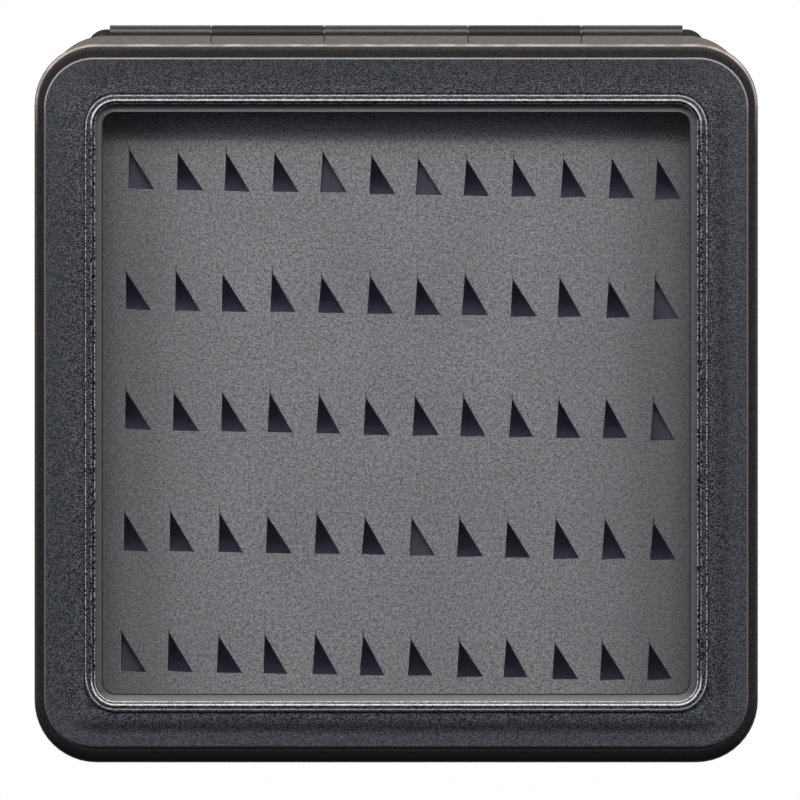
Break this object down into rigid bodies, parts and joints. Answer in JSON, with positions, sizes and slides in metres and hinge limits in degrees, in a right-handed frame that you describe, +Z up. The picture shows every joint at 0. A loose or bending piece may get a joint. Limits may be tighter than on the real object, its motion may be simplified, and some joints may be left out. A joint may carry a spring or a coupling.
{
  "type": "fly box",
  "caption": "Shallow black hinged case with a clear window in its lid over a slotted foam sheet, a full-width back hinge and a small front latch lever.",
  "frame": {"origin": "middle of the flat rest face under the tray", "axes": "+Z up towards the lid's window, +Y towards the hinge, -Y towards the latch, +X to the right seen from the latch side"},
  "size_m": [0.135, 0.1378, 0.021],
  "materials": {
    "tray_plastic": "smooth black moulded plastic",
    "lid_plastic": "fine-grained black moulded plastic with a smooth rim",
    "bezel_plastic": "smooth black moulded plastic",
    "lever_plastic": "smooth black moulded plastic",
    "clear_plastic": "clear moulded plastic",
    "mounting_tape": "clear, slightly hazy mounting tape",
    "foam": "closed-cell grey foam",
    "adhesive": "adhesive film",
    "pin_steel": "drawn stainless wire"
  },
  "bodies": {
    "tray": {"base_tray": "tray_plastic", "foam_insert": "foam", "foam_adhesive": "adhesive", "hinge_pin": "pin_steel"},
    "lid": {"lid_frame": "lid_plastic", "window_tape": "mounting_tape", "window_pane": "clear_plastic", "window_bezel": "bezel_plastic", "latch_pin": "pin_steel"},
    "lever": {"latch_lever": "lever_plastic"}
  },
  "joints": [
    {"name": "lid_hinge", "type": "hinge", "parent": "tray", "child": "lid", "pos_m": [0, 0.0692, 0.0108], "axis": [-1, 0, 0], "range_deg": [0, 180]},
    {"name": "latch_hinge", "type": "hinge", "parent": "lid", "child": "lever", "pos_m": [0, -0.06575, 0.015], "axis": [-1, 0, 0], "range_deg": [-6, 80]}
  ]
}
